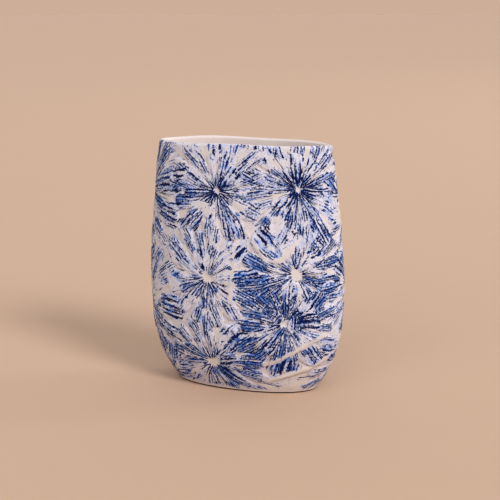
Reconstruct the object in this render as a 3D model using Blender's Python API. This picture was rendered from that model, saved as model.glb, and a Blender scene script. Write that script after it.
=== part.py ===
"""A talavera pottery vase: a flattened oval body with a wide open mouth.

The body is built from clay the way a potter builds it. Two curved wall halves, the front and the
back, meet edge to edge at the narrow ends, and stand on the ledge of a flat base slab. Each piece
is its own solid, and 0.3 mm separates a piece from its neighbour.

Frame: the origin is on the standing surface under the middle of the vase, +Z is up, the broad
front faces -Y and the narrow ends face -X and +X. All lengths are in metres.
"""

import math

import bmesh
import bpy

# Overall size, as half widths along X and half depths along Y at three heights
HEIGHT = 0.200
BELLY_HEIGHT = 0.086
FOOT_HALF_WIDTH = 0.0595
BELLY_HALF_WIDTH = 0.0820
RIM_HALF_WIDTH = 0.0728
FOOT_HALF_DEPTH = 0.0270
BELLY_HALF_DEPTH = 0.0415
RIM_HALF_DEPTH = 0.0285

# Shape of the section and of the side profile
SECTION_POWER = 2.08  # 2 is an ellipse, and more is squarer
FOOT_ROUNDING = 2.9  # how suddenly the wall turns in above the foot
SHOULDER_SOFTNESS = 0.25  # how gently the taper to the rim begins
LEAN = 0.0087  # sideways lean of the hand-built body, in metres for each metre of height

# Clay thickness
WALL = 0.0045
SLAB = 0.0055
LEDGE = 0.0018  # the slab's edge that shows below the walls
SLAB_EDGE_ROUNDING = 0.0006
GAP = 0.0003

# Facets
AROUND_HALF = 36  # along half of the oval
WALL_ROWS = 18  # up the outside and down the inside of a wall
LIP_STEPS = 6  # over the round lip
ROUNDING_STEPS = 2  # over the slab's lower edge

GLAZE_CREAM = (0.66, 0.58, 0.56, 1.0)
BARE_CLAY = (0.52, 0.36, 0.25, 1.0)


def half_size(height, foot, belly, rim):
    """Half width or half depth at a height: it curves in fast to the foot and gently to the rim."""
    if height < BELLY_HEIGHT:
        below = (BELLY_HEIGHT - height) / BELLY_HEIGHT
        return belly - (belly - foot) * below**FOOT_ROUNDING
    above = (height - BELLY_HEIGHT) / (HEIGHT - BELLY_HEIGHT)
    taper = math.hypot(above, SHOULDER_SOFTNESS) - SHOULDER_SOFTNESS
    full_taper = math.hypot(1, SHOULDER_SOFTNESS) - SHOULDER_SOFTNESS
    return belly - (belly - rim) * taper / full_taper


def signed_power(value, power):
    return math.copysign(abs(value) ** power, value)


def section_point(angle, height, inset):
    """A point of the oval section at this height, moved inward by the inset."""
    half_width = half_size(height, FOOT_HALF_WIDTH, BELLY_HALF_WIDTH, RIM_HALF_WIDTH) - inset
    half_depth = half_size(height, FOOT_HALF_DEPTH, BELLY_HALF_DEPTH, RIM_HALF_DEPTH) - inset
    x = half_width * signed_power(math.cos(angle), 2 / SECTION_POWER)
    y = half_depth * signed_power(math.sin(angle), 2 / SECTION_POWER)
    return x - LEAN * (height - BELLY_HEIGHT), y, height


def half_angles(side):
    """Angles along one half of the oval, from its +X end to its -X end. Side -1 is the front."""
    return [side * math.pi * step / AROUND_HALF for step in range(AROUND_HALF + 1)]


def wall_outline():
    """The wall's own closed outline, as (inset, height): up the outside, over the lip, down the inside."""
    bottom = LEDGE + GAP
    lip_radius = WALL / 2
    lip_base = HEIGHT - lip_radius
    rise = [bottom + (lip_base - bottom) * row / WALL_ROWS for row in range(WALL_ROWS + 1)]
    lip = []
    for step in range(1, LIP_STEPS):
        turn = math.pi * step / LIP_STEPS
        lip.append((lip_radius * (1 - math.cos(turn)), lip_base + lip_radius * math.sin(turn)))
    outside = [(0, height) for height in rise]
    inside = [(WALL, height) for height in reversed(rise)]
    return outside + lip + inside


def link_object(name, mesh_builder, material):
    mesh_builder.normal_update()
    bmesh.ops.recalc_face_normals(mesh_builder, faces=mesh_builder.faces)
    mesh = bpy.data.meshes.new(name)
    mesh_builder.to_mesh(mesh)
    mesh_builder.free()
    mesh.shade_smooth()
    mesh.set_sharp_from_angle(angle=math.radians(40))
    mesh.materials.append(material)
    piece = bpy.data.objects.new(name, mesh)
    bpy.context.scene.collection.objects.link(piece)
    return piece


def clay_material(name, colour, roughness):
    material = bpy.data.materials.new(name)
    material.use_nodes = True
    shader = material.node_tree.nodes["Principled BSDF"]
    shader.inputs["Base Color"].default_value = colour
    shader.inputs["Roughness"].default_value = roughness
    shader.inputs["Metallic"].default_value = 0.0
    return material


def make_wall(name, side, material):
    """One half of the body, swept round half of the oval and closed by a flat joint face at each end."""
    builder = bmesh.new()
    outline = wall_outline()
    loops = []
    for angle in half_angles(side):
        loop = []
        for inset, height in outline:
            x, y, z = section_point(angle, height, inset)
            y = side * max(side * y, GAP / 2)
            loop.append(builder.verts.new((x, y, z)))
        loops.append(loop)
    count = len(outline)
    for near, far in zip(loops, loops[1:]):
        for i in range(count):
            j = (i + 1) % count
            builder.faces.new((near[i], near[j], far[j], far[i]))
    builder.faces.new(loops[0])
    builder.faces.new(loops[-1])
    return link_object(name, builder, material)


def slab_outline():
    """(inset, height) from the underside's edge, round the lower edge, over the ledge, to the top."""
    points = []
    for step in range(ROUNDING_STEPS + 1):
        turn = math.pi / 2 * step / ROUNDING_STEPS
        inset = SLAB_EDGE_ROUNDING * (1 - math.sin(turn))
        points.append((inset, SLAB_EDGE_ROUNDING * (1 - math.cos(turn))))
    points.append((0, LEDGE))
    points.append((WALL + GAP, LEDGE))
    points.append((WALL + GAP, SLAB))
    return points


def make_slab(name, material):
    """The flat base, with a raised middle that fits inside the walls and a ledge that carries them."""
    builder = bmesh.new()
    angles = half_angles(1)[:-1] + [math.pi + angle for angle in half_angles(1)[:-1]]
    rings = []
    for inset, height in slab_outline():
        ring = [builder.verts.new(section_point(angle, height, inset)) for angle in angles]
        rings.append(ring)
    count = len(angles)
    for lower, upper in zip(rings, rings[1:]):
        for i in range(count):
            j = (i + 1) % count
            builder.faces.new((lower[i], lower[j], upper[j], upper[i]))
    builder.faces.new(rings[0])
    builder.faces.new(rings[-1])
    return link_object(name, builder, material)


def main():
    for old in list(bpy.data.objects):
        bpy.data.objects.remove(old, do_unlink=True)
    glaze = clay_material("glazed_wall", GLAZE_CREAM, 0.38)
    glaze_back = clay_material("glazed_wall_back", GLAZE_CREAM, 0.38)
    bare = clay_material("bare_clay", BARE_CLAY, 0.85)
    make_wall("front_wall", -1, glaze)
    make_wall("back_wall", 1, glaze_back)
    make_slab("base_slab", bare)


main()
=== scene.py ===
"""The looks of a flattened oval talavera vase: dahlia flowers in low relief, stained cobalt blue.

The three CAD solids give the size, and three finer meshes stand for them. The flowers are worked
out on the unrolled body: "turn" runs once round the vase, from -0.5 to 0.5, with 0 in the middle
of the broad front and positive towards +X, and lengths on the ornament are in millimetres.
"""

import math
from collections import namedtuple

import bpy
import numpy as np
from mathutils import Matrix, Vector


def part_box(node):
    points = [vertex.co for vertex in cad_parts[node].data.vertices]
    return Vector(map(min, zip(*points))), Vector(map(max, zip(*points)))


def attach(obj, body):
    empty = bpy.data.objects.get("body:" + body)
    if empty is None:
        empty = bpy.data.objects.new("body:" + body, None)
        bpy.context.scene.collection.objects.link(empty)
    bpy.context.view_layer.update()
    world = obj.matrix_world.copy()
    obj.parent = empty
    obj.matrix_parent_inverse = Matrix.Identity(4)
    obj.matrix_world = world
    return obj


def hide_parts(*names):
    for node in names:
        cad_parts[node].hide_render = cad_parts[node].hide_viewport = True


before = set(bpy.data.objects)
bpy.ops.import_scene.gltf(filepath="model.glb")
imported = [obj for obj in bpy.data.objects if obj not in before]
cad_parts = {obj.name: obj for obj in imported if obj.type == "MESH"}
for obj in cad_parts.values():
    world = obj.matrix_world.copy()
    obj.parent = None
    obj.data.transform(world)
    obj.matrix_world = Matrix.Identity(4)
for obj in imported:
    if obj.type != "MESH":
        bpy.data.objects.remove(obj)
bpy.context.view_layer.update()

MM = 0.001

# ---------------------------------------------------------------- the body's size and shape

wall_low, wall_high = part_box("front_wall")
_, slab_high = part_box("base_slab")

# The frame gives the outer size. The rest are the CAD's own driving sizes, in metres.
HEIGHT = wall_high.z
BELLY_HALF_WIDTH = (wall_high.x - wall_low.x) / 2
BELLY_HALF_DEPTH = -wall_low.y
FOOT_HALF_WIDTH = 0.0595
FOOT_HALF_DEPTH = 0.0270
RIM_HALF_WIDTH = 0.0728
RIM_HALF_DEPTH = 0.0285
BELLY_HEIGHT = 0.086
SECTION_POWER = 2.08  # 2 is an ellipse, and more is squarer
FOOT_ROUNDING = 2.9  # how suddenly the wall turns in above the foot
SHOULDER_SOFTNESS = 0.25  # how gently the taper to the rim begins
LEAN = 0.0087  # metres sideways for each metre of height
WALL = 0.0045  # clay thickness
LEDGE = 0.0018  # height of the slab's ledge, where the walls start

COLUMNS_HALF = 260  # mesh columns along each half of the oval
OUTSIDE_ROWS = 260  # mesh rows up the outside, over the lip and down the inside
LIP_ROWS = 12
INSIDE_ROWS = 50
WALL_SHARP_ANGLE = math.radians(55)  # folds between faces stay sharp from here on
SLAB_SHARP_ANGLE = math.radians(50)


def half_size(height, foot, belly, rim):
    """Half width or half depth of the oval at these heights."""
    below = np.clip((BELLY_HEIGHT - height) / BELLY_HEIGHT, 0, None)
    above = np.clip((height - BELLY_HEIGHT) / (HEIGHT - BELLY_HEIGHT), 0, None)
    taper = np.hypot(above, SHOULDER_SOFTNESS) - SHOULDER_SOFTNESS
    full_taper = math.hypot(1, SHOULDER_SOFTNESS) - SHOULDER_SOFTNESS
    return belly - (belly - foot) * below**FOOT_ROUNDING - (belly - rim) * taper / full_taper


def signed_power(value, power):
    return np.sign(value) * np.abs(value) ** power


def section(angle, height, inset):
    """Points of the oval at these heights, for angles from the middle of the front towards +X."""
    half_width = half_size(height, FOOT_HALF_WIDTH, BELLY_HALF_WIDTH, RIM_HALF_WIDTH) - inset
    half_depth = half_size(height, FOOT_HALF_DEPTH, BELLY_HALF_DEPTH, RIM_HALF_DEPTH) - inset
    x = half_width * signed_power(np.sin(angle), 2 / SECTION_POWER)
    y = -half_depth * signed_power(np.cos(angle), 2 / SECTION_POWER)
    x = x - LEAN * (height - BELLY_HEIGHT)
    return np.stack([x, y, height + 0 * x], axis=-1)


# Angles of the oval and the turns that they stand for, measured along the belly
fine_angles = np.linspace(-math.pi, math.pi, 4001)
fine_points = section(fine_angles, np.full_like(fine_angles, BELLY_HEIGHT), 0)
fine_steps = np.linalg.norm(np.diff(fine_points, axis=0), axis=1)
fine_turns = np.concatenate([[0], np.cumsum(fine_steps)]) / fine_steps.sum() - 0.5


def angle_at(turn):
    return np.interp(turn, fine_turns, fine_angles)


def girth(height):
    """Length round the oval at these heights, by Ramanujan's formula for an ellipse."""
    a = half_size(height, FOOT_HALF_WIDTH, BELLY_HALF_WIDTH, RIM_HALF_WIDTH)
    b = half_size(height, FOOT_HALF_DEPTH, BELLY_HALF_DEPTH, RIM_HALF_DEPTH)
    return math.pi * (3 * (a + b) - np.sqrt((3 * a + b) * (a + 3 * b)))


def wave_noise(points, wavelength, seed, waves=10):
    """A smooth random field, mostly between -1 and 1: a sum of plane waves through space."""
    random = np.random.default_rng(seed)
    total = 0
    for _ in range(waves):
        direction = random.normal(size=3)
        direction /= np.linalg.norm(direction)
        length = wavelength * random.uniform(0.7, 1.5)
        total = total + np.sin(points @ direction * (2 * math.pi / length) + random.uniform(0, 6.283))
    return total / math.sqrt(waves / 2) / 1.6


def unevenness(points, waves):
    """A sum of wave noises, each given as (size in mm, wavelength in metres, seed)."""
    return sum(size * wave_noise(points, wavelength, seed) for size, wavelength, seed in waves)


def ease(value, start, end):
    """0 up to start and 1 from end, with a smooth step between."""
    t = np.clip((value - start) / (end - start), 0, 1)
    return t * t * (3 - 2 * t)


def between(low, high, share):
    return low + (high - low) * share


# ---------------------------------------------------------------- the flowers

# turn: place round the vase; height, reach: mm; skew: share by which the petals are longer towards
# the skew direction, in degrees, and shorter away from it; petals: in each ring; spin: degrees;
# lift: mm above its neighbours; eye: radius of the clean dimple in its middle, mm; heart: how dark
# the veins are round the eye; ink: 0 wiped clean to 9 full, in twelve directions counter-clockwise
# from the flower's right
Flower = namedtuple("Flower", "turn height reach skew skewed petals spin lift eye heart ink")
FLOWERS = [
    Flower(-0.031, 164, 43, 0.00, 0, 12, 10, 0.10, 2.2, 0.85, "557546767575"),
    Flower(0.144, 167, 46, 0.00, 0, 13, 0, 0.05, 1.9, 1.0, "665556657566"),
    Flower(-0.045, 95, 43, 0.00, 0, 12, 25, 0.20, 4.4, 0.4, "455465676654"),
    Flower(0.136, 101, 44, 0.00, 0, 12, -10, 0.00, 5.2, 0.35, "776566778777"),
    Flower(0.114, 62, 40, 0.22, -60, 13, 8, 0.25, 3.0, 0.8, "786557767755"),
    Flower(-0.044, 25, 42, 0.00, 0, 12, 5, 0.10, 5.0, 0.4, "665556755567"),
    Flower(-0.242, 157, 46, 0.10, 80, 12, 30, 0.05, 3.0, 0.8, "667676766776"),
    Flower(-0.226, 66, 48, 0.10, 100, 12, 15, 0.02, 3.6, 0.5, "767676677667"),
    Flower(-0.205, 6, 36, 0.00, 0, 11, 0, 0.08, 3.2, 0.4, "677677667766"),
    Flower(0.318, 150, 46, 0.08, 30, 12, 20, 0.06, 2.4, 0.9, "565656566565"),
    Flower(0.312, 84, 44, 0.10, 200, 12, 5, 0.10, 3.8, 0.4, "665565566565"),
    Flower(0.300, 22, 44, 0.00, 0, 12, 12, 0.03, 3.4, 0.6, "556656565655"),
    Flower(0.475, 163, 46, 0.00, 0, 12, 0, 0.08, 2.4, 0.9, "656565656566"),
    Flower(0.462, 97, 45, 0.12, 140, 12, 22, 0.02, 4.2, 0.4, "565665665556"),
    Flower(0.482, 32, 46, 0.00, 0, 11, -5, 0.12, 3.4, 0.7, "565656655665"),
    Flower(-0.365, 150, 46, 0.08, -70, 12, 14, 0.12, 2.6, 0.9, "566565656565"),
    Flower(-0.376, 86, 45, 0.10, 20, 12, -8, 0.04, 4.0, 0.5, "655656566556"),
    Flower(-0.352, 24, 45, 0.00, 0, 11, 3, 0.10, 3.4, 0.7, "556566565656"),
]
RINGS = [(1.00, 0.12), (0.64, 0.10)]  # share of the reach, height above the ring outside it in mm
BARE_LEVEL = -0.15  # mm, height of the body where no petal covers it
MEAN_LEVEL = 0.55  # mm, taken off the relief so that it doesn't make the body thicker
RELIEF_DEPTH = 1.5  # how many times deeper the flowers are cut than the heights here say
PETAL_UNEVEN = 0.26  # share by which petals differ in length and their sides fall short of the tip
PETAL_BLUNT = 2.6  # how blunt a petal's tip is
PETAL_CROWN = 0.44  # mm, how far a petal's middle stands above its edges
CROWN_FROM = (3, 14)  # mm from the flower's middle: where the crown starts and where it is full
PETAL_CUP = 0.20  # mm, how far a petal rises towards its tip
CUP_FROM = (0.30, 0.95)  # the same for the cup, as shares of the petal's length
PETAL_EDGE = 2.2  # mm, width of the step down at a petal's tip
PETAL_DROP = 3.0  # mm, how far down that step could go before it meets what lies under it
EYE_DEPTH = 0.8  # mm
EYE_SLOPE = (0.25, 1.35)  # shares of the eye's radius between which its dimple rises
RIB_PITCH = 3.7  # mm between the ribs that run down a petal
RIB_HEIGHT = 0.06  # mm
RIBS_FROM = (6, 14)  # mm from the flower's middle: where the ribs start and where they are full
VEIN_SPREAD = 4.0  # mm: with VEIN_FAN, how the veins of a petal spread from its foot
VEIN_FAN = 0.85

INK_DIRECTIONS = 12  # round a flower, as its ink lists them
FULL_INK = 0.90  # how much stain a petal of level 9 holds
PETAL_CHANCE = (0.82, 1.18)  # least and most that chance makes of a petal's stain
HEART_CHANCE = (0.45, 1.55)  # the same for its heart
HEART_INK = 0.24  # how much more it holds round the eye
HEART_EDGE = (2, 13)  # mm past the eye: where that starts to fade and where it ends
HEART_DARK = 0.60  # how much darker the stain is there
DARK_EDGE = (2, 24)  # mm past the eye, as for HEART_EDGE
PATCH_LENGTH = 0.030  # metres, size of the areas where the stain is stronger or weaker
SMALL_PATCH_LENGTH = 0.011
CLEAN_FOOT = (1.5, 5.5)  # mm above the floor: the stain is thin up to the first, full from the second

# Rolls of clay pushed up between flowers: points as (turn, height in mm), then in mm how far the
# roll slopes down on the left and on the right of its run, how high it stands, and how far from
# its ridge the stain is wiped off
Roll = namedtuple("Roll", "points left right rise wiped")
ROLL_STARTS = (-0.05, 0.25)  # shares of its run over which a roll rises out of the body
ROLL_ENDS = (0.85, 1.1)  # and over which it sinks back
WIPED_EDGE_WAVES = [(0.8, 0.006, 21), (0.6, 0.017, 22)]  # as unevenness takes them
ROLLS = [
    Roll(
        [(0.036, 133), (0.058, 123), (0.080, 112), (0.104, 113), (0.124, 120), (0.146, 130)],
        6, 6, 1.2, 2.8,
    ),
    Roll([(0.014, 124), (0.009, 104), (0.006, 88), (0.002, 74)], 4, 3, 0.5, 2.0),
    Roll([(0.077, 27), (0.108, 32), (0.138, 39), (0.167, 46), (0.196, 51)], 11, 3.0, 1.35, 3.0),
    Roll([(0.093, 12), (0.137, 18), (0.180, 23), (0.221, 33)], 9, 3.0, 1.25, 2.8),
    Roll([(0.380, 122), (0.404, 128), (0.430, 122), (0.455, 130)], 6, 5, 0.7, 3.0),
    Roll([(-0.290, 118), (-0.310, 104), (-0.300, 84)], 5, 4, 0.5, 2.2),
    Roll([(-0.436, 62), (-0.415, 56), (-0.398, 62), (-0.376, 58)], 5, 5, 0.6, 2.6),
]

# Places where the brush left more stain (a gain above 0) or a thumb wiped it off (below 0), in the
# order in which they were worked: turn, then height and radius in mm
Touch = namedtuple("Touch", "turn height radius gain")
TOUCHES = [
    Touch(*numbers)
    for numbers in [
        (0.053, 90, 17, 1.20), (0.045, 64, 12, 0.60), (0.020, 94, 6, 0.50), (0.100, 80, 12, 0.45),
        (0.190, 84, 16, 0.20), (0.025, 44, 11, 0.45), (0.052, 30, 12, 0.95), (-0.125, 160, 12, 0.25),
        (-0.135, 122, 10, 0.25), (-0.165, 30, 10, 0.20), (0.200, 194, 9, 0.40), (-0.040, 160, 4, 0.50),
        (0.380, 96, 14, 0.35), (-0.420, 120, 12, 0.30), (-0.290, 140, 12, 0.25), (-0.062, 149, 7, -0.40),
        (0.022, 153, 6, -0.35), (0.168, 104, 9, -0.35), (0.150, 14, 14, -0.40), (0.100, 140, 8, -0.35),
        (0.092, 187, 10, -0.35), (-0.080, 70, 9, -0.35), (-0.194, 76, 18, -0.45), (-0.222, 142, 14, -0.45),
        (0.260, 148, 15, -0.45), (0.258, 174, 10, -0.45), (0.246, 44, 12, -0.35), (-0.012, 82, 6, -0.25),
        (0.400, 60, 12, -0.35), (-0.300, 60, 11, -0.30), (-0.130, 84, 9, -0.40), (0.155, 74, 8, -0.35),
    ]
]


def around(value):
    """A turn difference brought back to between -0.5 and 0.5."""
    return (value + 0.5) % 1 - 0.5


def flower_polar(flower, turn, height_mm, girth_mm):
    dx = around(turn - flower.turn) * girth_mm
    dy = height_mm - flower.height
    return np.hypot(dx, dy), np.arctan2(dy, dx)


def reach_towards(flower, angle):
    return flower.reach * (1 + flower.skew * np.cos(angle - math.radians(flower.skewed)))


def eye_radius(flower, angle):
    """The clean dimple's radius in each direction: it is never quite round."""
    seed = flower.turn * 31 + flower.height * 0.37
    return flower.eye * (1 + 0.20 * np.sin(2 * angle + seed) + 0.14 * np.sin(3 * angle + 2.3 * seed))


def petal_place(flower, ring, angle):
    """How many petals round the ring an angle lies: its whole part names the petal."""
    seed = flower.turn * 40 + flower.height * 0.13 + ring * 1.7
    wobble = 0.16 * np.sin(2 * angle + seed * 5) + 0.10 * np.sin(3 * angle + seed * 9)
    spin = math.radians(flower.spin) + ring * math.pi / flower.petals
    return ((angle + wobble - spin) * flower.petals / (2 * math.pi)) % flower.petals


def petal_across(place, index):
    """How far across its petal a place lies: -1 and 1 are the petal's edges."""
    return 2 * (place - index) - 1


def petal_hash(flower, ring, index, salt):
    """A fixed random number from 0 to 1 for each petal."""
    key = np.sin(index * 12.9898 + ring * 78.233 + flower.height * 3.7 + flower.turn * 91.7 + salt * 4.1)
    return key * 43758.5453 % 1


def vein_across(flower, across, radius):
    """Distance across the veins in mm, for a place across the petal and a radius."""
    return across * math.pi / flower.petals * (VEIN_SPREAD + VEIN_FAN * radius)


def cover_by_petals(turn, height_mm):
    """The relief's height in mm, and for each point the flower and ring that lie on top."""
    girth_mm = girth(height_mm * MM) / MM
    top = np.full(turn.shape, BARE_LEVEL)
    owner = np.full(turn.shape, -1)
    owner_ring = np.zeros(turn.shape, int)
    for number, flower in enumerate(FLOWERS):
        radius, angle = flower_polar(flower, turn, height_mm, girth_mm)
        eye = eye_radius(flower, angle)
        level = flower.lift
        for ring, (share, rise) in enumerate(RINGS):
            level = level + rise
            place = petal_place(flower, ring, angle)
            index = np.floor(place)
            across = petal_across(place, index)
            uneven = 1 + PETAL_UNEVEN * (petal_hash(flower, ring, index, 1) - 0.5)
            length = reach_towards(flower, angle) * share * uneven
            outline = length * (1 - PETAL_UNEVEN * np.abs(across) ** PETAL_BLUNT)
            crown = PETAL_CROWN * (1 - across**2) * ease(radius, *CROWN_FROM)
            cup = PETAL_CUP * ease(radius / length, *CUP_FROM)
            ribs = np.cos(2 * math.pi * vein_across(flower, across, radius) / RIB_PITCH)
            ribs = RIB_HEIGHT * ribs * ease(radius, *RIBS_FROM)
            dimple = EYE_DEPTH * (1 - ease(radius, EYE_SLOPE[0] * eye, EYE_SLOPE[1] * eye))
            drop = PETAL_DROP * (1 - ease(outline - radius, 0, PETAL_EDGE))
            relief = level + crown + cup + ribs - dimple - drop
            above = relief > top
            top = np.where(above, relief, top)
            owner = np.where(above, number, owner)
            owner_ring = np.where(above, ring, owner_ring)
    return top, owner, owner_ring


def nearest_flower(turn, height_mm):
    girth_mm = girth(height_mm * MM) / MM
    distances = [flower_polar(f, turn, height_mm, girth_mm)[0] / f.reach for f in FLOWERS]
    return np.argmin(distances, axis=0)


def top_petals(turn, height_mm):
    """As cover_by_petals, with the bare body between petals given to the nearest flower."""
    relief, owner, ring = cover_by_petals(turn, height_mm)
    return relief, np.where(owner < 0, nearest_flower(turn, height_mm), owner), ring


def roll_cover(turn, height_mm, points):
    """How far each point stands up on a roll of clay, in mm, and how far the stain is wiped off."""
    girth_mm = girth(height_mm * MM) / MM
    rise = np.zeros(turn.shape)
    wiped = np.zeros(turn.shape)
    unsteady = unevenness(points, WIPED_EDGE_WAVES)
    for roll in ROLLS:
        nearest = np.full(turn.shape, 1e3)
        slope = np.full(turn.shape, 1.0)
        run = np.zeros(turn.shape)
        segments = zip(roll.points, roll.points[1:])
        for done, ((start_turn, start_height), (end_turn, end_height)) in enumerate(segments):
            x = around(turn - start_turn) * girth_mm
            y = height_mm - start_height
            dx = (end_turn - start_turn) * girth_mm
            dy = end_height - start_height
            share = np.clip((x * dx + y * dy) / (dx**2 + dy**2), 0, 1)
            distance = np.hypot(x - share * dx, y - share * dy)
            side = np.where(dx * y > dy * x, roll.left, roll.right)
            slope = np.where(distance < nearest, side, slope)
            run = np.where(distance < nearest, (done + share) / (len(roll.points) - 1), run)
            nearest = np.minimum(nearest, distance)
        fade = ease(run, *ROLL_STARTS) * (1 - ease(run, *ROLL_ENDS))
        rise = np.maximum(rise, roll.rise * fade * (1 - ease(nearest, 0, slope)))
        ragged = nearest + unsteady
        wiped = np.maximum(wiped, 1 - ease(ragged, 0.3 * roll.wiped, roll.wiped))
    return rise, wiped


def stroke_space(flower_numbers, rings, turn, height_mm, centre_turn, centre_height):
    """Each point's place on the petal that owns its face, as two sets of three numbers.

    The first set runs with the veins: mm across them, mm along them from the flower's middle,
    and a number that tells petals apart. The second is the distance in mm from the petal's side
    edge, the share of its length gone, and a random number of its own.
    """
    veins = np.zeros(turn.shape + (3,))
    petal = np.zeros(turn.shape + (3,))
    girth_mm = girth(height_mm * MM) / MM
    centre_girth = girth(centre_height * MM) / MM
    for number, flower in enumerate(FLOWERS):
        for ring, (share, _) in enumerate(RINGS):
            here = (flower_numbers == number) & (rings == ring)
            if not here.any():
                continue
            radius, angle = flower_polar(flower, turn[here], height_mm[here], girth_mm[here])
            _, centre_angle = flower_polar(
                flower, centre_turn[here], centre_height[here], centre_girth[here]
            )
            centre_place = petal_place(flower, ring, centre_angle)
            index = np.floor(centre_place)
            half = flower.petals / 2
            place = petal_place(flower, ring, angle)
            place = centre_place + (place - centre_place + half) % flower.petals - half
            across = petal_across(place, index)
            tilt = (0.20 if ring else 0.50) * (petal_hash(flower, ring, index, 2) - 0.5)
            veins[here, 0] = vein_across(flower, across, radius) + tilt * radius
            veins[here, 1] = radius
            veins[here, 2] = number * 37 + ring * 11 + index * 3.3
            petal[here, 0] = (1 - np.abs(across)) * math.pi / flower.petals * radius
            petal[here, 1] = radius / (reach_towards(flower, angle) * share)
            petal[here, 2] = petal_hash(flower, ring, index, 5)
    return veins, petal


def flower_ink(flower, ring, radius, angle):
    """How much stain the points of one flower hold, and how dark it is."""
    levels = np.array([int(digit) for digit in flower.ink + flower.ink[0]], float) / 9
    direction = (angle / (2 * math.pi) % 1) * INK_DIRECTIONS
    level = np.interp(direction, np.arange(INK_DIRECTIONS + 1), levels)
    place = petal_place(flower, ring, angle)
    index = np.floor(place)
    level = level * between(*PETAL_CHANCE, petal_hash(flower, ring, index, 3))
    heart = flower.heart * between(*HEART_CHANCE, petal_hash(flower, 0, index, 6))

    eye = eye_radius(flower, angle)
    past_eye = radius - eye
    near = 1 - ease(past_eye, *HEART_EDGE)
    to_edge = ease(np.abs(petal_across(place, index)), 0.45, 1.0)
    body = 1 - (0.85 - 0.6 * near) * to_edge
    past_dimple = ease(radius, 0.70 * eye, 1.35 * eye)
    tip = 1 - 0.35 * ease(radius / reach_towards(flower, angle), 0.82, 1.02)
    amount = past_dimple * tip * (FULL_INK * level * body + HEART_INK * heart * near)
    dark = 0.22 + HEART_DARK * (1 - ease(past_eye, *DARK_EDGE)) * heart + 0.25 * (level - 0.5)
    return amount, dark


def touch_up(amount, turn, height_mm, unsteady):
    """The stain after every Touch. The touches' outlines wander by the unsteady distance, in mm."""
    girth_mm = girth(height_mm * MM) / MM
    for touch in TOUCHES:
        x = around(turn - touch.turn) * girth_mm
        distance = np.hypot(x, height_mm - touch.height) + unsteady
        spot = 1 - ease(distance, 0.45 * touch.radius, 1.15 * touch.radius)
        if touch.gain > 0:
            amount = amount + touch.gain * spot * (0.55 + 0.45 * amount)
        else:
            amount = amount * (1 + touch.gain * 1.5 * spot)
    return amount


def ink_amount(flower_numbers, rings, turn, height_mm, points):
    """How much stain each point holds, how dark it is, and how much thin wash lies under it."""
    amount = np.zeros(turn.shape)
    dark = np.zeros(turn.shape)
    girth_mm = girth(height_mm * MM) / MM
    for number, flower in enumerate(FLOWERS):
        here = flower_numbers == number
        if here.any():
            radius, angle = flower_polar(flower, turn[here], height_mm[here], girth_mm[here])
            amount[here], dark[here] = flower_ink(flower, rings[here], radius, angle)
    patches = wave_noise(points, PATCH_LENGTH, 11)
    small_patches = wave_noise(points, SMALL_PATCH_LENGTH, 12)
    amount = touch_up(amount, turn, height_mm, 2.5 * small_patches)
    amount = amount + (0.04 * patches + 0.09 * small_patches) * (amount > 0)
    amount = amount * (0.20 + 0.80 * ease(height_mm, *CLEAN_FOOT))
    dark = dark + 0.22 * patches
    wash = amount * 1.7 - 0.62 + 0.25 * patches
    return np.clip(amount, 0, 1), np.clip(dark, 0, 1), np.clip(wash, 0, 1)


# ---------------------------------------------------------------- meshes


def outward_directions(angle, height):
    """Level directions that point straight out of the oval at these angles and heights."""
    step = 1e-4
    along = section(angle + step, height, 0) - section(angle - step, height, 0)
    outward = np.stack([along[..., 1], -along[..., 0], 0 * angle], axis=-1)
    return outward / np.linalg.norm(outward, axis=-1, keepdims=True)


def wall_outline():
    """The wall's rows as (inset, height), up the outside, over the round lip and down the inside.

    With them comes each row's share of the outside: 1 up to the lip, 0 from the lip's end.
    """
    lip_radius = WALL / 2
    lip_base = HEIGHT - lip_radius
    outside = [(0.0, LEDGE + (lip_base - LEDGE) * i / OUTSIDE_ROWS) for i in range(OUTSIDE_ROWS + 1)]
    lip = []
    for step in range(1, LIP_ROWS):
        turned = math.pi * step / LIP_ROWS
        inset = lip_radius * (1 - math.cos(turned))
        lip.append((inset, lip_base + lip_radius * math.sin(turned)))
    inside = [(WALL, lip_base + (LEDGE - lip_base) * i / INSIDE_ROWS) for i in range(INSIDE_ROWS + 1)]
    over_lip = np.linspace(1, 0, len(lip) + 2)[1:-1]
    outside_share = np.concatenate([np.ones(len(outside)), over_lip, np.zeros(len(inside))])
    return np.array(outside + lip + inside), outside_share


def grid_faces(rows, columns):
    """Quads of a grid, closed from the last row back to the first."""
    row, column = np.meshgrid(np.arange(rows), np.arange(columns - 1), indexing="ij")
    row, column = row.ravel(), column.ravel()
    above = (row + 1) % rows
    corners = [row * columns + column, row * columns + column + 1]
    corners += [above * columns + column + 1, above * columns + column]
    return np.stack(corners, axis=1)


def new_piece(name, points, faces, material):
    mesh = bpy.data.meshes.new(name)
    mesh.from_pydata(points.tolist(), [], faces)
    mesh.update()
    mesh.materials.append(material)
    mesh.shade_smooth()
    piece = bpy.data.objects.new(name, mesh)
    bpy.context.scene.collection.objects.link(piece)
    return piece


def set_vectors(mesh, name, domain, values):
    attribute = mesh.attributes.new(name, "FLOAT_VECTOR", domain)
    attribute.data.foreach_set("vector", np.ascontiguousarray(values, np.float32).ravel())


RELIEF_FROM = (4, 14)  # mm above the floor: where the relief starts and where it is full
RELIEF_TO = (9, 1)  # mm below the rim: where it starts to fade and where it ends
RELIEF_LEFT = 0.12  # share of the relief that is left below, and above
# How uneven the hand left each side of the wall, as unevenness takes it
OUTER_HAND_WAVES = [(0.35, 0.075, 3), (0.12, 0.022, 4)]
INNER_HAND_WAVES = [(0.30, 0.060, 5), (0.10, 0.018, 6)]
HAND_FROM = (2, 12)  # mm above the floor
RIM_WAVE_FROM = 170  # mm above the floor: from here up the rim's waves grow


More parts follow.
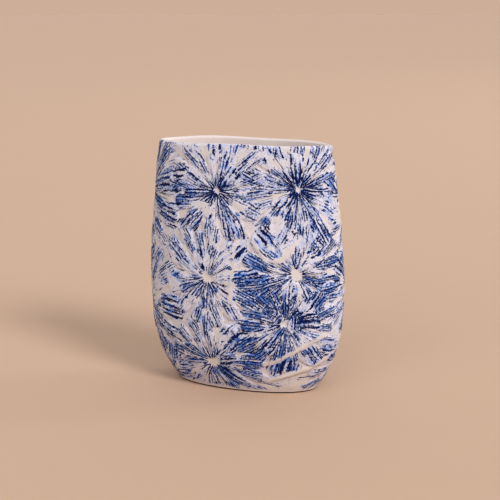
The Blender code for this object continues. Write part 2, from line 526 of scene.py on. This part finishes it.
def wall_points(base, angle, height_mm, outside, relief, roll_rise, roll_wiped):
    """The plain wall's points, pushed out by the relief and the rolls and made uneven as by hand."""
    relief = RELIEF_DEPTH * (relief - MEAN_LEVEL) * (1 - 0.6 * roll_wiped) + roll_rise
    rim_mm = HEIGHT / MM
    below_rim = 1 - ease(height_mm, rim_mm - RELIEF_TO[0], rim_mm - RELIEF_TO[1])
    relief = relief * between(RELIEF_LEFT, 1, ease(height_mm, *RELIEF_FROM) * below_rim)
    above_foot = ease(height_mm, *HAND_FROM)
    push = outside * (relief + unevenness(base, OUTER_HAND_WAVES) * above_foot)
    push = push + (1 - outside) * unevenness(base, INNER_HAND_WAVES) * above_foot
    outward = outward_directions(angle, height_mm * MM)
    points = base + outward * push[..., None] * MM
    rim_wave = 0.5 * np.sin(angle * 2 + 0.9) + 0.35 * np.sin(angle * 5 + 2.0) - 0.4
    points[..., 2] += ease(height_mm, RIM_WAVE_FROM, rim_mm) * rim_wave * MM
    return points


def face_strokes(turn, height_mm, quads):
    """stroke_space at every face's corners, each face on the petal that lies on top at its middle."""
    corner_turn = turn.ravel()[quads]
    corner_height = height_mm.ravel()[quads]
    first_turn = corner_turn[:, :1]
    centre_turn = around(first_turn + around(corner_turn - first_turn).mean(axis=1, keepdims=True))
    centre_height = corner_height.mean(axis=1, keepdims=True)
    _, owner, ring = top_petals(centre_turn, centre_height)
    spread = np.ones((1, 4), int)
    return stroke_space(
        owner * spread,
        ring * spread,
        corner_turn,
        corner_height,
        centre_turn * spread,
        centre_height * spread,
    )


def make_wall(name, middle_turn, material):
    """Half of the body as one closed shell: relief outside, a round lip, a plain inside."""
    outline, outside_share = wall_outline()
    rows, columns = len(outline), COLUMNS_HALF + 1
    turn_line = middle_turn + np.linspace(-0.25, 0.25, columns)
    turn, inset = np.meshgrid(around(turn_line), outline[:, 0])
    _, height = np.meshgrid(turn_line, outline[:, 1])
    outside = np.repeat(outside_share[:, None], columns, axis=1)
    angle = np.unwrap(angle_at(turn), axis=1)
    base = section(angle, height, inset)
    height_mm = height / MM

    relief, flower_numbers, ring = top_petals(turn, height_mm)
    roll_rise, roll_wiped = roll_cover(turn, height_mm, base)
    points = wall_points(base, angle, height_mm, outside, relief, roll_rise, roll_wiped)

    amount, dark, wash = ink_amount(flower_numbers, ring, turn, height_mm, base)
    lip_wipe = 1 - 0.3 * ease(height_mm, HEIGHT / MM - 0.8, HEIGHT / MM)
    inked = ease(outside, 0.3, 0.7) * lip_wipe * (1 - 0.92 * roll_wiped)
    stain = np.stack([amount * inked, dark, wash * inked], axis=-1)

    quads = grid_faces(rows, columns)
    last = columns - 1
    end_caps = [
        [row * columns for row in reversed(range(rows))],
        [row * columns + last for row in range(rows)],
    ]
    piece = new_piece(name, points.reshape(-1, 3), quads.tolist() + end_caps, material)
    mesh = piece.data
    cap_corners = np.zeros((len(mesh.loops) - quads.size, 3))
    for label, values in zip(("veins", "petal"), face_strokes(turn, height_mm, quads)):
        set_vectors(mesh, label, "CORNER", np.vstack([values.reshape(-1, 3), cap_corners]))
    set_vectors(mesh, "stain", "POINT", stain)
    set_vectors(mesh, "glaze", "POINT", np.stack([outside, 0 * outside, 0 * outside], axis=-1))
    mesh.set_sharp_from_angle(angle=WALL_SHARP_ANGLE)
    return piece


# ---------------------------------------------------------------- materials


class Graph:
    """A short way to write a material's nodes: a number or a socket can feed any input."""

    def __init__(self, name):
        self.material = bpy.data.materials.new(name)
        self.material.use_nodes = True
        self.nodes = self.material.node_tree.nodes
        self.links = self.material.node_tree.links
        self.shader = self.nodes["Principled BSDF"]

    def feed(self, socket, value):
        if isinstance(value, bpy.types.NodeSocket):
            self.links.new(value, socket)
        else:
            socket.default_value = value

    def set_input(self, name, value):
        """Give one of the shader's own inputs its number or its socket."""
        self.feed(self.shader.inputs[name], value)

    def math(self, operation, first, second=0.0, third=0.0):
        node = self.nodes.new("ShaderNodeMath")
        node.operation = operation
        for socket, value in zip(node.inputs, (first, second, third)):
            self.feed(socket, value)
        return node.outputs[0]

    def product(self, first, *others):
        for other in others:
            first = self.math("MULTIPLY", first, other)
        return first

    def shake(self, value, noise, size):
        """The value moved up and down by a noise: the size is the noise's whole range."""
        return self.math("MULTIPLY_ADD", self.math("SUBTRACT", noise, 0.5), size, value)

    def ramp(self, value, low, high, to_low=0.0, to_high=1.0):
        node = self.nodes.new("ShaderNodeMapRange")
        node.interpolation_type = "SMOOTHSTEP"
        names = ("Value", "From Min", "From Max", "To Min", "To Max")
        for name, number in zip(names, (value, low, high, to_low, to_high)):
            self.feed(node.inputs[name], number)
        return node.outputs["Result"]

    def mix(self, factor, first, second):
        node = self.nodes.new("ShaderNodeMix")
        node.data_type = "RGBA"
        factor_socket, first_socket, second_socket = (node.inputs[i] for i in (0, 6, 7))
        self.feed(factor_socket, factor)
        self.feed(first_socket, first)
        self.feed(second_socket, second)
        return node.outputs[2]

    def attribute(self, name):
        """The three numbers of a vector attribute."""
        node = self.nodes.new("ShaderNodeAttribute")
        node.attribute_name = name
        return self.split(node.outputs["Vector"])

    def split(self, vector):
        node = self.nodes.new("ShaderNodeSeparateXYZ")
        self.feed(node.inputs[0], vector)
        return node.outputs["X"], node.outputs["Y"], node.outputs["Z"]

    def join(self, x, y, z):
        node = self.nodes.new("ShaderNodeCombineXYZ")
        for socket, value in zip(node.inputs, (x, y, z)):
            self.feed(socket, value)
        return node.outputs[0]

    def place(self):
        """The point's place on the object, in mm."""
        coordinates = self.nodes.new("ShaderNodeTexCoord")
        scaled = self.nodes.new("ShaderNodeVectorMath")
        scaled.operation = "SCALE"
        self.feed(scaled.inputs[0], coordinates.outputs["Object"])
        scaled.inputs["Scale"].default_value = 1 / MM
        return scaled.outputs[0]

    def noise(self, vector, scale, detail, roughness=0.5):
        """A noise from 0 to 1, mostly near 0.5: its scale is in waves for each unit of the vector."""
        node = self.nodes.new("ShaderNodeTexNoise")
        self.feed(node.inputs["Vector"], vector)
        node.inputs["Scale"].default_value = scale
        node.inputs["Detail"].default_value = detail
        node.inputs["Roughness"].default_value = roughness
        return node.outputs["Fac"]

    def vein_noise(self, across, along, key, scale_across, scale_along, detail, roughness=0.5):
        """A noise drawn out along the veins of a petal, different on each petal."""
        x = self.math("MULTIPLY", across, scale_across)
        y = self.math("MULTIPLY", along, scale_along)
        return self.noise(self.join(x, y, key), 1, detail, roughness)

    def bump(self, height, distance, strength, below=None):
        node = self.nodes.new("ShaderNodeBump")
        node.inputs["Strength"].default_value = strength
        node.inputs["Distance"].default_value = distance
        self.feed(node.inputs["Height"], height)
        if below is not None:
            self.feed(node.inputs["Normal"], below)
        return node.outputs["Normal"]


CREAM = (0.632, 0.562, 0.530, 1)
CREAM_WARM = (0.580, 0.488, 0.432, 1)
CREAM_COOL = (0.605, 0.560, 0.560, 1)
CREAM_LIGHT = (0.690, 0.648, 0.668, 1)  # between strokes
# Unstained cream inside the mouth, made lighter than the outside cream: painted light in the shaded inside
CREAM_INSIDE_PAINTED_LIGHT = (0.760, 0.650, 0.600, 1)
PALE_BLUE = (0.260, 0.350, 0.660, 1)
WASH_BLUE = (0.090, 0.220, 0.590, 1)
BLUE = (0.016, 0.115, 0.450, 1)
COBALT = (0.003, 0.032, 0.225, 1)
NAVY = (0.001, 0.004, 0.044, 1)
BUFF_CLAY = (0.420, 0.240, 0.140, 1)
BUFF_CLAY_PALE = (0.500, 0.320, 0.200, 1)
# Dark brown: grog specks in the clay, and the band along the slab's bottom edge where it meets the floor
DARK_CLAY = (0.030, 0.009, 0.003, 1)

# A brush's strokes: mm between their middles, how often they break for each mm, half of their
# greatest width as a share of the pitch (a socket may stand in for it), and a seed
Brush = namedtuple("Brush", "pitch breaks half_width seed")
FINE_BRUSH = Brush(1.75, 0.11, 0.21, 51.3)
BROAD_PITCH = 2.6
BROAD_BREAKS = 0.060
BROAD_HALF_WIDTHS = (0.25, 0.42)  # where the stain is pale and where it is darkest
STROKE_SWAY = 3.6  # mm, how far strokes wander from the veins
STROKE_ROUGHNESS = 0.95  # how ragged a stroke's edge is, as a share of the pitch
CREASE_OFFSET = 0.85  # mm from a petal's side to the dark line beside it
CREASE_HALF_WIDTH = (0.28, 0.50)  # mm to where that line starts to fade and to its end
WARM_BOUNCE_FOOT = (2, 65)  # mm above the floor: painted warm floor bounce, full up to the first and gone from the second
SATIN_ROUGHNESS = (0.44, 0.58)
STAIN_DULLNESS = 0.12  # how much rougher the stain is than the glaze
GLAZE_SPECULAR = 0.06
CLAY_SPECULAR = 0.20

# What a material knows of a point of the wall: its place in mm, a fine grain, whether it is
# outside, its place on its petal (see stroke_space), and its stain (see ink_amount)
Surface = namedtuple(
    "Surface", "place grain outside across along key side length chance amount dark wash"
)


def wall_surface(g):
    """The wall's Surface, with its strokes swaying off the veins as a hand does."""
    across, along, key = g.attribute("veins")
    side, length, chance = g.attribute("petal")
    amount, dark, wash = g.attribute("stain")
    outside, _, _ = g.attribute("glaze")
    place = g.place()
    sway = g.vein_noise(across, along, key, 0.22, 0.07, 2, 0.6)
    across = g.shake(across, sway, STROKE_SWAY)
    grain = g.noise(place, 0.70, 2, 0.70)
    return Surface(place, grain, outside, across, along, key, side, length, chance, amount, dark, wash)


def brush_strokes(g, at, load, brush):
    """Dry-brush strokes side by side: above 0 inside a stroke, in shares of the pitch."""
    lane = g.math("DIVIDE", at.across, brush.pitch)
    off_middle = g.math("ABSOLUTE", g.math("SUBTRACT", g.math("FRACT", lane), 0.5))
    lane_key = g.math("MULTIPLY_ADD", g.math("FLOOR", lane), 3.71, brush.seed)
    run = g.math("MULTIPLY", at.along, brush.breaks)
    held = g.noise(g.join(lane_key, run, at.key), 1, 1.5)
    needed = g.math("MULTIPLY_ADD", load, -0.50, 0.70)
    half_width = g.product(g.math("SUBTRACT", held, needed), 3.2)
    half_width = g.math("MINIMUM", half_width, brush.half_width)
    return g.math("SUBTRACT", g.shake(half_width, at.grain, STROKE_ROUGHNESS), off_middle)


def all_strokes(g, at):
    """Broad strokes, and between them fine ones from a drier brush: above 0 inside a stroke."""
    load = g.shake(at.amount, g.noise(at.place, 0.17, 2), 0.75)
    half_width = g.ramp(at.dark, 0.60, 1.0, *BROAD_HALF_WIDTHS)
    broad = brush_strokes(g, at, load, Brush(BROAD_PITCH, BROAD_BREAKS, half_width, 0.0))
    drier = g.math("MULTIPLY_ADD", load, 0.85, -0.02)
    return g.math("MAXIMUM", broad, brush_strokes(g, at, drier, FINE_BRUSH))


def crease_lines(g, at):
    """A dark line beside the crease between two petals, on some petals and near the eye only."""
    wander = g.shake(at.side, at.grain, 1.2)
    off_line = g.math("ABSOLUTE", g.math("SUBTRACT", wander, CREASE_OFFSET))
    line = g.ramp(off_line, *CREASE_HALF_WIDTH, 1.0, 0.0)
    likely = g.math("MULTIPLY_ADD", at.chance, 0.55, g.product(at.dark, 0.9))
    near_eye = g.ramp(at.length, 0.80, 0.45)
    return g.product(line, g.ramp(likely, 0.45, 0.75), near_eye, g.ramp(at.amount, 0.02, 0.10))


def cream_glaze(g, at):
    """Cream with cooler and smudged areas, lighter between strokes, warmer towards the foot as painted
    warm bounce light from the floor, and lighter inside as painted light in the shaded mouth.
    """
    cool = g.ramp(g.noise(at.place, 0.045, 2), 0.40, 0.66)
    cream = g.mix(cool, CREAM, CREAM_COOL)
    cream = g.mix(g.ramp(at.amount, 0.04, 0.40, 0.0, 0.85), cream, CREAM_LIGHT)
    smudge = g.ramp(g.noise(at.place, 0.16, 3, 0.6), 0.52, 0.75, 0.0, 0.40)
    cream = g.mix(smudge, cream, CREAM_WARM)
    _, _, above_foot = g.split(at.place)
    # Painted warm bounce light from the floor, strongest at the foot
    cream = g.mix(g.ramp(above_foot, *WARM_BOUNCE_FOOT, 1.0, 0.0), cream, CREAM_WARM)
    # Inside: the lighter cream is painted light in the shaded mouth
    return g.mix(at.outside, CREAM_INSIDE_PAINTED_LIGHT, cream)


def washes(g, at, haze, inside_stroke, colour):
    """A pale film, thin wash, dabs of a wet brush with a darker rim, and a halo round strokes."""
    film = g.product(g.ramp(haze, 0.30, 0.70), g.ramp(at.amount, 0.05, 0.55, 0.0, 0.32))
    colour = g.mix(film, colour, PALE_BLUE)
    thin = g.product(g.ramp(haze, 0.42, 0.58), at.wash, 0.80)
    colour = g.mix(thin, colour, WASH_BLUE)

    dab = g.vein_noise(at.across, at.along, at.key, 0.24, 0.085, 2)
    dab = g.math("MULTIPLY_ADD", at.wash, 0.26, g.shake(dab, at.grain, 0.22))
    wet = g.ramp(at.wash, 0.0, 0.1)
    colour = g.mix(g.product(g.ramp(dab, 0.74, 0.79), wet, 0.80), colour, BLUE)
    rim = g.product(g.ramp(dab, 0.735, 0.755), g.ramp(dab, 0.775, 0.81, 1.0, 0.0))
    colour = g.mix(g.product(rim, wet, 0.70), colour, NAVY)

    halo = g.product(g.ramp(inside_stroke, -0.24, 0.0), g.ramp(haze, 0.36, 0.64, 0.10, 0.66))
    return g.mix(g.product(halo, g.ramp(at.amount, 0.10, 0.70)), colour, WASH_BLUE)


def stroke_ink(g, at, inside_stroke, crease):
    """Blue at a stroke's edge, cobalt in its core, and navy where the brush held much stain."""
    core = g.ramp(inside_stroke, 0.02, 0.26)
    ink = g.mix(core, BLUE, COBALT)
    held = g.vein_noise(at.across, at.along, at.key, 0.45, 0.10, 2)
    depth = g.math("MULTIPLY_ADD", held, 2.2, g.math("SUBTRACT", at.dark, 1.06))
    depth = g.math("MULTIPLY_ADD", core, 0.45, depth)
    ink = g.mix(g.ramp(depth, 0.0, 0.42), ink, NAVY)
    return g.mix(crease, ink, NAVY)


def specks(g, at, stroke, colour):
    """Pale blue grit between strokes, cobalt specks, and small warm flecks in the glaze."""
    grit = g.ramp(g.noise(at.place, 1.25, 2, 0.6), 0.50, 0.66)
    grit = g.product(grit, g.ramp(at.amount, 0.0, 0.30, 0.10, 0.50), g.ramp(stroke, 0, 1, 1, 0))
    colour = g.mix(grit, colour, PALE_BLUE)
    speck = g.math("MULTIPLY_ADD", at.amount, 0.06, g.noise(at.place, 0.80, 2, 0.6))
    speck = g.product(g.ramp(speck, 0.64, 0.68), g.ramp(at.amount, 0.05, 0.25, 0.0, 0.8))
    colour = g.mix(speck, colour, COBALT)
    fleck = g.ramp(g.noise(at.place, 1.1, 1), 0.73, 0.78, 0.0, 0.5)
    return g.mix(fleck, colour, CREAM_WARM)


def stained_glaze(name):
    """Satin cream glaze over petals whose veins hold cobalt stain."""
    g = Graph(name)
    at = wall_surface(g)
    inside_stroke = all_strokes(g, at)
    crease = crease_lines(g, at)
    stroke = g.product(g.ramp(inside_stroke, -0.02, 0.06), g.ramp(at.amount, 0.02, 0.10))
    stroke = g.math("MAXIMUM", stroke, crease)

    haze = g.shake(g.vein_noise(at.across, at.along, at.key, 0.45, 0.06, 3), at.grain, 0.6)
    colour = washes(g, at, haze, inside_stroke, cream_glaze(g, at))
    colour = g.mix(stroke, colour, stroke_ink(g, at, inside_stroke, crease))
    g.set_input("Base Color", specks(g, at, stroke, colour))

    satin = g.ramp(g.noise(at.place, 0.35, 3, 0.6), 0.3, 0.7, *SATIN_ROUGHNESS)
    g.set_input("Roughness", g.math("MULTIPLY_ADD", stroke, STAIN_DULLNESS, satin))
    g.set_input("Specular IOR Level", GLAZE_SPECULAR)

    furrow = g.product(g.ramp(inside_stroke, -0.1, 0.3), -1.0, at.outside)
    furrowed = g.bump(furrow, 0.22 * MM, 0.55)
    skin = g.noise(at.place, 0.55, 4, 0.6)
    g.set_input("Normal", g.bump(skin, 0.18 * MM, 0.5, furrowed))
    return g.material


def slab_clay(name):
    """The base: cream glaze over its edge and its inside, bare buff clay under it, darkest along its
    bottom edge where it meets the floor.
    """
    g = Graph(name)
    glazed, bottom_dark, _ = g.attribute("glaze")
    place = g.place()
    ragged = g.shake(glazed, g.noise(place, 0.35, 3, 0.6), 1.1)
    cover = g.ramp(ragged, 0.42, 0.58)
    clay_tone = g.ramp(g.noise(place, 0.25, 4, 0.65), 0.3, 0.7)
    clay = g.mix(clay_tone, BUFF_CLAY, BUFF_CLAY_PALE)
    grog = g.ramp(g.noise(place, 2.2, 2), 0.66, 0.72, 0.0, 0.6)
    clay = g.mix(grog, clay, DARK_CLAY)
    # Dark band along the bottom edge where the slab meets the floor
    clay = g.mix(bottom_dark, clay, DARK_CLAY)
    g.set_input("Base Color", g.mix(cover, clay, CREAM_WARM))
    g.set_input("Roughness", g.ramp(cover, 0, 1, 0.88, 0.46))
    g.set_input("Specular IOR Level", CLAY_SPECULAR)
    g.set_input("Normal", g.bump(g.noise(place, 1.4, 4, 0.7), 0.2 * MM, 0.5))
    return g.material


# ---------------------------------------------------------------- the base


SLAB_EDGE_ROUNDING = 0.7 * MM
SLAB_ROUNDING_STEPS = 4
SLAB_BEVEL = 0.8 * MM
BOTTOM_DARK_TO = 1.35 * MM  # above the floor: the dark band along the bottom edge reaches up to here
GLAZED_FROM = 1.5 * MM


def slab_outline():
    """Rows of the base from the middle of its underside round to the middle of its top.

    Each is (inset, height, how glazed, how dark the bottom edge is), with lengths in metres.
    """
    seat = WALL + 0.3 * MM
    middle = 0.5 * FOOT_HALF_DEPTH
    top = slab_high.z
    rows = [
        (middle, 0.0, 0.0, 0.0),
        (6 * MM, 0.0, 0.0, 0.0),
        (2.2 * MM, 0.0, 0.0, 0.1),
    ]
    for step in range(SLAB_ROUNDING_STEPS + 1):
        share = step / SLAB_ROUNDING_STEPS
        turned = math.pi / 2 * share
        inset = SLAB_EDGE_ROUNDING * (1 - math.sin(turned))
        height = SLAB_EDGE_ROUNDING * (1 - math.cos(turned))
        rows.append((inset, height, 0.0, 0.6 + 0.4 * share))
    rows += [
        (0.0, BOTTOM_DARK_TO, 0.0, 1.0),
        (0.0, GLAZED_FROM, 1.0, 0.5),
        (0.0, 0.9 * LEDGE, 1.0, 0.0),
        (0.2 * MM, LEDGE, 1.0, 0.0),
        (WALL / 2, LEDGE, 1.0, 0.0),
        (seat, LEDGE, 1.0, 0.0),
        (seat, top - SLAB_BEVEL, 1.0, 0.0),
        (seat + SLAB_BEVEL, top, 1.0, 0.0),
        (middle, top, 1.0, 0.0),
    ]
    return rows


def make_slab(name, material):
    """The flat base: a rounded lower edge, a ledge under the walls and a raised middle inside them."""
    columns = 2 * COLUMNS_HALF
    turn = np.linspace(-0.5, 0.5, columns, endpoint=False)
    angle = angle_at(turn)
    outline = slab_outline()
    rings = [section(angle, np.full_like(angle, row[1]), row[0]) for row in outline]
    finish = np.repeat(np.array([(row[2], row[3], 0.0) for row in outline]), columns, axis=0)
    faces = []
    for row in range(len(outline) - 1):
        for column in range(columns):
            following = (column + 1) % columns
            low, high = row * columns, (row + 1) * columns
            faces.append([low + column, low + following, high + following, high + column])
    last = (len(outline) - 1) * columns
    faces.append(list(reversed(range(columns))))
    faces.append([last + column for column in range(columns)])
    piece = new_piece(name, np.concatenate(rings), faces, material)
    set_vectors(piece.data, "glaze", "POINT", finish)
    piece.data.set_sharp_from_angle(angle=SLAB_SHARP_ANGLE)
    return piece


def declare(piece, nodes):
    """Parent the piece to the part's only body and hide the CAD solids it stands for."""
    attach(piece, "root")
    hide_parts(*nodes)


# ---------------------------------------------------------------- stage

STAGE_RADIUS = 60.0  # metres, so that the floor's edge lies far away
STAGE_SIDES = 96
PAPER = (0.540, 0.356, 0.244, 1)
BACKDROP = (0.609, 0.427, 0.320, 1)  # what the lit floor looks like from far off
SKY = (0.95, 0.97, 1.0, 1)
SKY_STRENGTH = 0.35

DAYLIGHT = (0.98, 0.98, 1.0)
LAMPLIGHT = (1.0, 0.97, 0.93)
# Soft suns: turn from the front towards +X, rise above the floor and softness in degrees
Sun = namedtuple("Sun", "name turn rise strength softness")
SUNS = [
    Sun("key", 62, 34, 2.28, 20),
    Sun("fill", -5, 32, 1.15, 60),
    Sun("back_fill", 205, 50, 0.70, 90),
]
# A panel behind and to the right lights the floor there: metres and watts
GLOW_PLACE = (3.6, 2.4, 1.3)
GLOW_TARGET = (1.2, 2.6, 0)
GLOW_SIZE = 1.2
GLOW_POWER = 60


def stage_material(name, colour):
    g = Graph(name)
    speckle = g.noise(g.place(), 0.02, 3)
    lighter = tuple(1.03 * channel for channel in colour[:3]) + (1,)
    g.set_input("Base Color", g.mix(speckle, colour, lighter))
    g.set_input("Roughness", 0.9)
    return g.material


def make_floor():
    """A round floor of pale paper."""
    points = [(0.0, 0.0, 0.0)]
    for side in range(STAGE_SIDES):
        angle = 2 * math.pi * side / STAGE_SIDES
        points.append((STAGE_RADIUS * math.cos(angle), STAGE_RADIUS * math.sin(angle), 0.0))
    faces = [(0, 1 + side, 1 + (side + 1) % STAGE_SIDES) for side in range(STAGE_SIDES)]
    new_piece("floor", np.array(points), faces, stage_material("floor_paper", PAPER))


def make_world():
    """A sky that lights like a white studio, and that the camera sees as more paper."""
    world = bpy.data.worlds.new("studio")
    bpy.context.scene.world = world
    world.use_nodes = True
    nodes, links = world.node_tree.nodes, world.node_tree.links
    light = nodes["Background"]
    light.inputs["Color"].default_value = SKY
    light.inputs["Strength"].default_value = SKY_STRENGTH
    seen = nodes.new("ShaderNodeBackground")
    seen.inputs["Color"].default_value = BACKDROP
    either = nodes.new("ShaderNodeMixShader")
    links.new(nodes.new("ShaderNodeLightPath").outputs["Is Camera Ray"], either.inputs[0])
    links.new(light.outputs[0], either.inputs[1])
    links.new(seen.outputs[0], either.inputs[2])
    links.new(either.outputs[0], nodes["World Output"].inputs["Surface"])


def link_light(data, place, towards):
    """Add a lamp at this place that shines in this direction."""
    light = bpy.data.objects.new(data.name, data)
    light.location = place
    light.rotation_euler = towards.to_track_quat("-Z", "Y").to_euler()
    bpy.context.scene.collection.objects.link(light)


def add_sun(sun):
    data = bpy.data.lights.new(sun.name, "SUN")
    data.energy = sun.strength
    data.angle = math.radians(sun.softness)
    data.color = DAYLIGHT
    turn, rise = math.radians(sun.turn), math.radians(sun.rise)
    flat = math.cos(rise)
    source = Vector((math.sin(turn) * flat, -math.cos(turn) * flat, math.sin(rise)))
    link_light(data, source, -source)


def add_glow():
    data = bpy.data.lights.new("back_glow", "AREA")
    data.shape = "SQUARE"
    data.size = GLOW_SIZE
    data.energy = GLOW_POWER
    data.color = LAMPLIGHT
    link_light(data, GLOW_PLACE, Vector(GLOW_TARGET) - Vector(GLOW_PLACE))


CAMERA_TURN = math.radians(19.8)  # from the front towards +X
CAMERA_RISE = math.radians(13.0)
CAMERA_DISTANCE = 0.90  # metres from the middle of the vase
CAMERA_LENS = 79.5  # mm
AIM_ABOVE_MIDDLE = 0.0109  # metres, where the camera looks
AIM_ASIDE = 0.0035


def make_camera():
    data = bpy.data.cameras.new("camera")
    data.lens = CAMERA_LENS
    data.clip_start = 0.01
    camera = bpy.data.objects.new("camera", data)
    flat = CAMERA_DISTANCE * math.cos(CAMERA_RISE)
    camera.location = (
        flat * math.sin(CAMERA_TURN),
        -flat * math.cos(CAMERA_TURN),
        HEIGHT / 2 + CAMERA_DISTANCE * math.sin(CAMERA_RISE),
    )
    aim = Vector((
        AIM_ASIDE * math.cos(CAMERA_TURN),
        AIM_ASIDE * math.sin(CAMERA_TURN),
        HEIGHT / 2 + AIM_ABOVE_MIDDLE,
    ))
    camera.rotation_euler = (aim - camera.location).to_track_quat("-Z", "Y").to_euler()
    bpy.context.scene.collection.objects.link(camera)
    bpy.context.scene.camera = camera


glaze = stained_glaze("stained_glaze")
declare(make_wall("front_wall_glazed", 0.0, glaze), ["front_wall"])
declare(make_wall("back_wall_glazed", 0.5, glaze), ["back_wall"])
declare(make_slab("base_slab_fired", slab_clay("bare_clay")), ["base_slab"])

make_floor()
make_world()
for sun in SUNS:
    add_sun(sun)
add_glow()
make_camera()
bpy.context.scene.view_settings.view_transform = "Standard"
